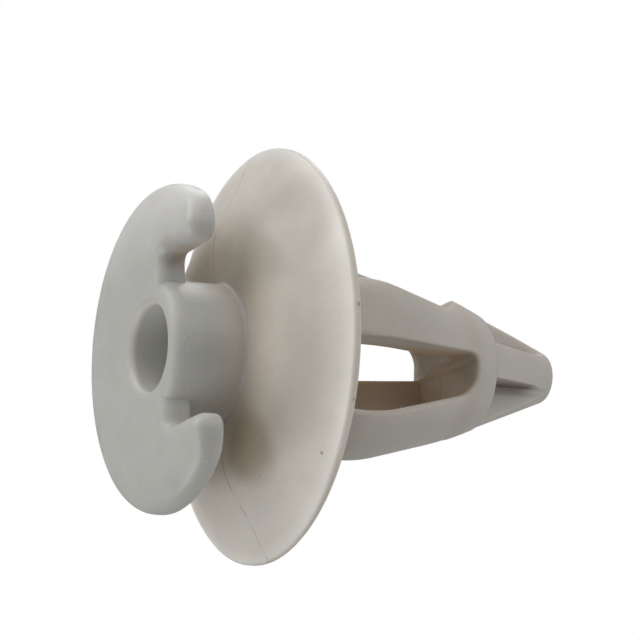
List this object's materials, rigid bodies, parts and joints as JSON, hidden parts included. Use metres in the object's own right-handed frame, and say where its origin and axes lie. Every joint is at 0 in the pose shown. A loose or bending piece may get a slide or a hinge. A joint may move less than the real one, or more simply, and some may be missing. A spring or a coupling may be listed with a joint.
{
  "type": "door trim panel clip",
  "caption": "One-piece moulded push-in clip for a door trim panel, with a C-shaped head, a dished sealing skirt and a slotted snap-in stem with a ribbed point.",
  "frame": {"origin": "on the clip's axis, in the plane of the head's flat outer face, at the bottom of the bounding box", "axes": "+Z along the clip's axis from the head to the point, +X toward the side where the head is cut open, which is also the way the mould opens"},
  "size_m": [0.0218, 0.0218, 0.0234],
  "materials": {
    "moulding": "satin moulded nylon or acetal, warm light grey, slightly translucent"
  },
  "bodies": {
    "root": {"panel_clip": "moulding"}
  },
  "joints": []
}
